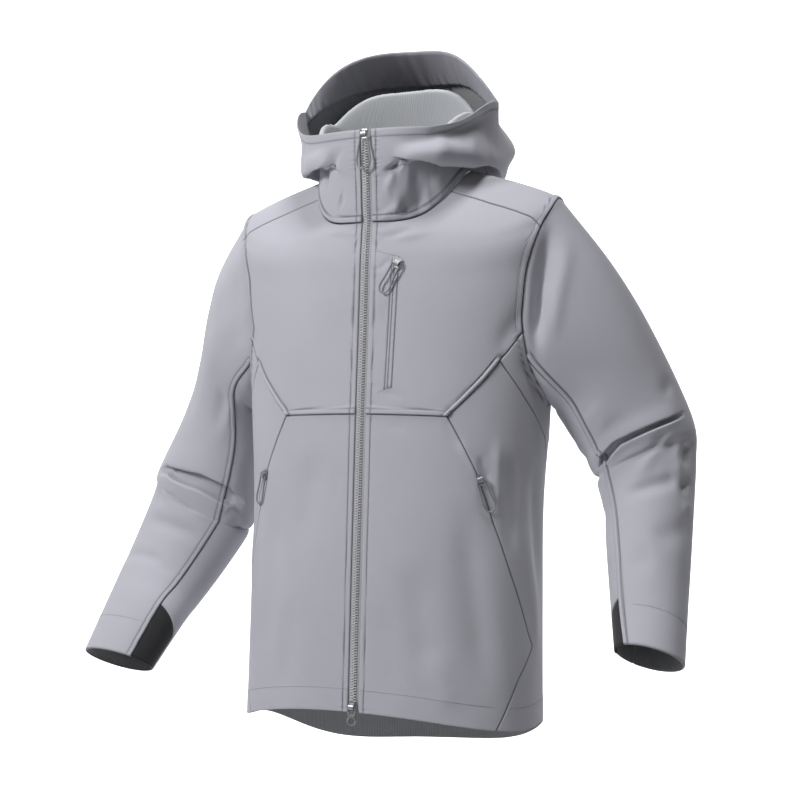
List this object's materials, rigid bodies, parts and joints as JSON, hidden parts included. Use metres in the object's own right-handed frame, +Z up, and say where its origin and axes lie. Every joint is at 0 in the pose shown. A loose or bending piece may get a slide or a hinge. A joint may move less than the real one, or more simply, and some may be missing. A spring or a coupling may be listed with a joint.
{
  "type": "hooded softshell jacket",
  "caption": "Hooded softshell jacket in its worn shape: high zipped collar, hood lying back, panelled fronts, slanted zip pockets, bent sleeves.",
  "frame": {"origin": "inside of the collar at the centre back, on the knit lining, where the wearer's nape carries the jacket", "axes": "+Z up, -Y towards the front of the jacket, +X towards the wearer's left"},
  "size_m": [0.855, 0.341, 0.9714],
  "materials": {
    "shell": "matte woven softshell",
    "knit": "ribbed knit",
    "facing": "matte woven",
    "stretch": "matte stretch weave",
    "zip": "moulded teeth, satin",
    "slider_metal": "satin silver grey",
    "pull_cord": "moulded cord loop"
  },
  "bodies": {
    "garment": {"front_chest_left": "shell", "front_lower_left": "shell", "side_panel_left": "shell", "hood_side_left": "shell", "sleeve_outer_left": "shell", "sleeve_inner_left": "shell", "front_chest_right": "shell", "front_lower_right": "shell", "side_panel_right": "shell", "hood_side_right": "shell", "sleeve_outer_right": "shell", "sleeve_inner_right": "shell", "back_body": "shell", "yoke": "shell", "hood_center": "shell", "chest_pocket_strip": "shell", "neck_lining": "knit", "brim_facing": "facing", "cuff_insert_left": "stretch", "cuff_insert_right": "stretch", "main_zip": "zip", "main_slider": "slider_metal", "lower_slider": "slider_metal", "chest_slider": "slider_metal", "hand_left_slider": "slider_metal", "hand_right_slider": "slider_metal"},
    "main_tab": {"main_pull": "pull_cord"},
    "lower_tab": {"lower_pull": "slider_metal"},
    "chest_tab": {"chest_pull": "pull_cord"},
    "hand_left_tab": {"hand_left_pull": "pull_cord"},
    "hand_right_tab": {"hand_right_pull": "pull_cord"}
  },
  "joints": [
    {"name": "main_swing", "type": "hinge", "parent": "garment", "child": "main_tab", "pos_m": [0, -0.16398, -0.0078], "axis": [-1, 0, 0], "range_deg": [0, 160]},
    {"name": "lower_swing", "type": "hinge", "parent": "garment", "child": "lower_tab", "pos_m": [0, -0.20012, -0.73615], "axis": [-1, 0, 0], "range_deg": [0, 160]},
    {"name": "chest_swing", "type": "hinge", "parent": "garment", "child": "chest_tab", "pos_m": [0.04675, -0.16529, -0.17588], "axis": [-0.8754, -0.0221, 0.4829], "range_deg": [0, 160]},
    {"name": "hand_left_swing", "type": "hinge", "parent": "garment", "child": "hand_left_tab", "pos_m": [0.15468, -0.15106, -0.44938], "axis": [-0.8033, -0.4865, -0.3437], "range_deg": [0, 160]},
    {"name": "hand_right_swing", "type": "hinge", "parent": "garment", "child": "hand_right_tab", "pos_m": [-0.15468, -0.15106, -0.44927], "axis": [-0.7975, 0.4835, 0.3608], "range_deg": [0, 160]}
  ]
}
